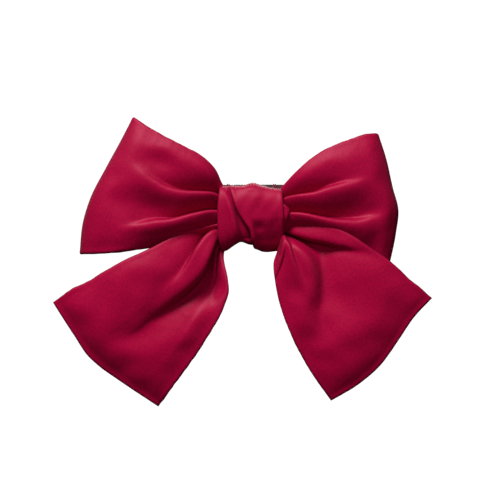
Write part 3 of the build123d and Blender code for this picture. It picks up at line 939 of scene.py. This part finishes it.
def make_pad():
    """The felt pad that fills the wedge between the knot's back and the clip's plate."""
    pad_low, pad_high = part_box("clip_pad")
    half_x = (pad_high.x - pad_low.x) / 2 / MM - 0.2
    half_z = (pad_high.z - pad_low.z) / 2 / MM - 0.2
    middle_z = ((pad_high.z + pad_low.z) / 2 - KNOT[2]) / MM
    front = (KNOT[1] - pad_low.y) / MM - 0.2
    rear = (KNOT[1] - pad_high.y) / MM + 0.35
    plate_radius, corner, knot_half_height = 124.0, 0.45, 17.3
    a = np.linspace(0, math.tau, 120, endpoint=False)[:, None]
    s = np.linspace(-1, 1, 110)[None, :]
    round_off = (1 - np.abs(s) ** 9) ** 0.5
    x = half_x * s + 0 * a
    z = middle_z + half_z * squared(np.sin(a), corner) * round_off
    up = np.clip(np.abs(z) / knot_half_height, 0, 1)
    knot_back = -(OVER_BACK + 0.8) * (1 - up**BAND_CORNER) ** (1 / BAND_CORNER)
    ahead = np.minimum(front, knot_back)
    behind = rear - x**2 / (2 * plate_radius)
    f = (ahead + behind) / 2 + (ahead - behind) / 2 * squared(np.cos(a), corner) * round_off
    fuzz = 0.10 * ripples(x + f, z, 61, 1.9) + 0.12 * ripples(x, z + f, 62, 5)
    grid = np.stack([x, f + fuzz, z + fuzz], -1)[::-1]
    return sheet_mesh("clip_pad_felt", grid, 0.4, 0.3, FELT, closed=True)


# ---- joining the looks to the frame -------------------------------------------------------
for piece, node, slot in (
    (make_under_wrap(), "knot_under_wrap", "satin"),
    (make_over_wrap(), "knot_over_wrap", "satin"),
    (make_core(), "gathered_core", "satin"),
    (make_winding(), "gather_thread", "thread"),
    (make_pad(), "clip_pad", "felt"),
):
    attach(piece, "bow")
    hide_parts(node)

# Each wing's piece and two points near the knot, given as (x, f, z).
BENDS = {
    "left_loop": (left_loop, (-13, 0, 4), (-24, 0, 6)),
    "right_loop": (right_loop, (13, 0, 4), (24, 0, 6)),
    "left_tail": (left_tail, (-17.5, 6, -5), (-25, 8, -13)),
    "right_tail": (right_tail, (17.5, 6, -3), (25, 8, -11)),
}
for body, (piece, start, end) in BENDS.items():
    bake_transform(piece)
    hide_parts(body)

CARRIED_OVER = (
    (THREAD, ("knot_closing_stitches", "clip_binding_stitches")),
    (STEEL, ("clip_base_plate", "clip_hinge_pin", "clip_clasp_arm", "clip_latch_saddle",
             "clip_latch_prong_upper", "clip_latch_prong_lower", "clip_latch_rivet")),
    (SPRING_STEEL, ("clip_tension_bar",)),
)
for material, names in CARRIED_OVER:
    for name in names:
        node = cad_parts[name]
        node.data.materials.clear()
        node.data.materials.append(material)


# ---- stage, light and camera --------------------------------------------------------------
def make_floor(radius, height):
    """A pale round floor that fades out towards its rim, so that it meets the white
    surroundings without an edge. The satin and the steel don't pick up its light."""
    mesh = bpy.data.meshes.new("floor")
    angles = np.linspace(0, math.tau, 96, endpoint=False)
    rim = [(radius * math.cos(a), radius * math.sin(a), 0) for a in angles]
    mesh.from_pydata(rim, [], [tuple(range(len(rim)))])
    shader = Shader("pale_floor")
    distance = shader.add("VectorMath", {0: shader.place()}, operation="LENGTH").outputs["Value"]
    fade = shader.mapped(distance, 1.0, 0.0, radius * 0.35, radius * 0.98)
    fade.node.interpolation_type = "SMOOTHSTEP"
    shader.set(Base_Color=(0.92, 0.92, 0.92, 1), Roughness=0.8, Alpha=fade)
    mesh.materials.append(shader.material)
    obj = bpy.data.objects.new("floor", mesh)
    bpy.context.scene.collection.objects.link(obj)
    obj.location = (0, 0, height)
    obj.visible_glossy = obj.visible_diffuse = False


def make_world(seen_strength, lit_strength):
    """White surroundings for the camera, which give the object only a little light."""
    world = bpy.data.worlds.new("studio")
    bpy.context.scene.world = world
    world.use_nodes = True
    nodes, links = world.node_tree.nodes, world.node_tree.links
    nodes.clear()
    choose = nodes.new("ShaderNodeMixShader")
    path = nodes.new("ShaderNodeLightPath")
    links.new(path.outputs["Is Camera Ray"], choose.inputs["Fac"])
    for i, strength in ((1, lit_strength), (2, seen_strength)):
        white = nodes.new("ShaderNodeBackground")
        white.inputs["Color"].default_value = (1, 1, 1, 1)
        white.inputs["Strength"].default_value = strength
        links.new(white.outputs["Background"], choose.inputs[i])
    out = nodes.new("ShaderNodeOutputWorld")
    links.new(choose.outputs["Shader"], out.inputs["Surface"])


def area_light(name, place, aim, width, height, power):
    data = bpy.data.lights.new(name, "AREA")
    data.shape = "RECTANGLE"
    data.size, data.size_y = width, height
    data.energy = power
    obj = bpy.data.objects.new(name, data)
    bpy.context.scene.collection.objects.link(obj)
    obj.location = place
    obj.rotation_mode = "QUATERNION"
    obj.rotation_quaternion = (Vector(aim) - Vector(place)).to_track_quat("-Z", "Y")
    return obj


def make_camera(frame_width, centre_x, centre_z):
    """Straight in front of the bow. frame_width: what the picture spans at the knot, in m."""
    data = bpy.data.cameras.new("camera")
    data.lens = 85
    data.sensor_width = 36
    data.clip_start, data.clip_end = 0.01, 20
    camera = bpy.data.objects.new("camera", data)
    bpy.context.scene.collection.objects.link(camera)
    distance = frame_width * data.lens / data.sensor_width
    camera.location = (centre_x, KNOT[1] - distance, centre_z)
    camera.rotation_euler = (math.pi / 2, 0, 0)
    bpy.context.scene.camera = camera


make_floor(0.42, -0.26)
make_world(1.1, 0.02)
MIDDLE = (0, -0.01, -0.03)
area_light("key_above", (-0.42, -0.75, 1.36), MIDDLE, 0.6, 0.5, 38.0)
front_fill = area_light("front_fill", (0.25, -0.9, 0.0), MIDDLE, 0.6, 0.6, 1.7)
front_fill.visible_glossy = False
area_light("back_fill", (0.1, 0.8, 0.5), MIDDLE, 0.8, 0.6, 6.0)
# Seen only in reflections, so that the clip's plated steel reads as bright metal from behind.
metal_glow = area_light("metal_glow", (-0.15, 0.7, 0.35), (0, 0.005, 0), 1.3, 0.9, 4.0)
metal_glow.visible_diffuse = False
make_camera(0.270, -0.0008, KNOT[2] - 0.0178)
bpy.context.scene.view_settings.view_transform = "Standard"
bpy.context.scene.view_settings.look = "None"
